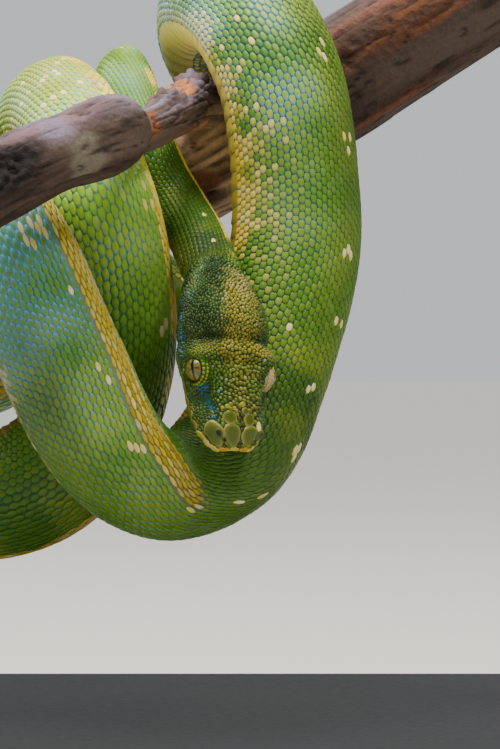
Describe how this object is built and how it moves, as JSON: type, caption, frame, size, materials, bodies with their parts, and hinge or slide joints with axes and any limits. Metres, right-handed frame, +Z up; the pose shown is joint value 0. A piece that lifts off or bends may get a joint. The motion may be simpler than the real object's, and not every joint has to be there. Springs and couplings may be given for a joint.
{
  "type": "coiled green tree python",
  "caption": "Life-size still model of a green tree python coiled over a cut branch, its head hanging in front of its loops, on a flat base with upright rods.",
  "frame": {"origin": "middle of the base's underside, which is the middle of the whole part seen from above", "axes": "+Z up, +X along the base's long side towards the high end of the perch, -Y the side that the face looks to"},
  "size_m": [0.31, 0.204, 0.2636],
  "materials": {
    "skin": "green scales with blue skin between, a yellow ridge along the back and cream spots",
    "eye": "wet gloss, brown gold with an upright slit pupil",
    "bark": "rough grey brown bark, orange where it is worn",
    "stand_board": "black satin lacquer",
    "stand_steel": "brushed along its length",
    "stand_fitting": "black satin powder coat"
  },
  "bodies": {
    "root": {"head": "skin", "neck": "skin", "trunk_01": "skin", "trunk_02": "skin", "trunk_03": "skin", "trunk_04": "skin", "trunk_05": "skin", "trunk_06": "skin", "trunk_07": "skin", "trunk_08": "skin", "trunk_09": "skin", "trunk_10": "skin", "trunk_11": "skin", "trunk_12": "skin", "trunk_13": "skin", "trunk_14": "skin", "tail_01": "skin", "tail_02": "skin", "tail_03": "skin", "eye_right": "eye", "eye_left": "eye", "perch": "bark", "stand_base": "stand_board", "stand_rod_left": "stand_steel", "stand_rod_right": "stand_steel", "stand_collar_left": "stand_fitting", "stand_collar_right": "stand_fitting", "stand_saddle_left": "stand_fitting", "stand_saddle_right": "stand_fitting"}
  },
  "joints": []
}
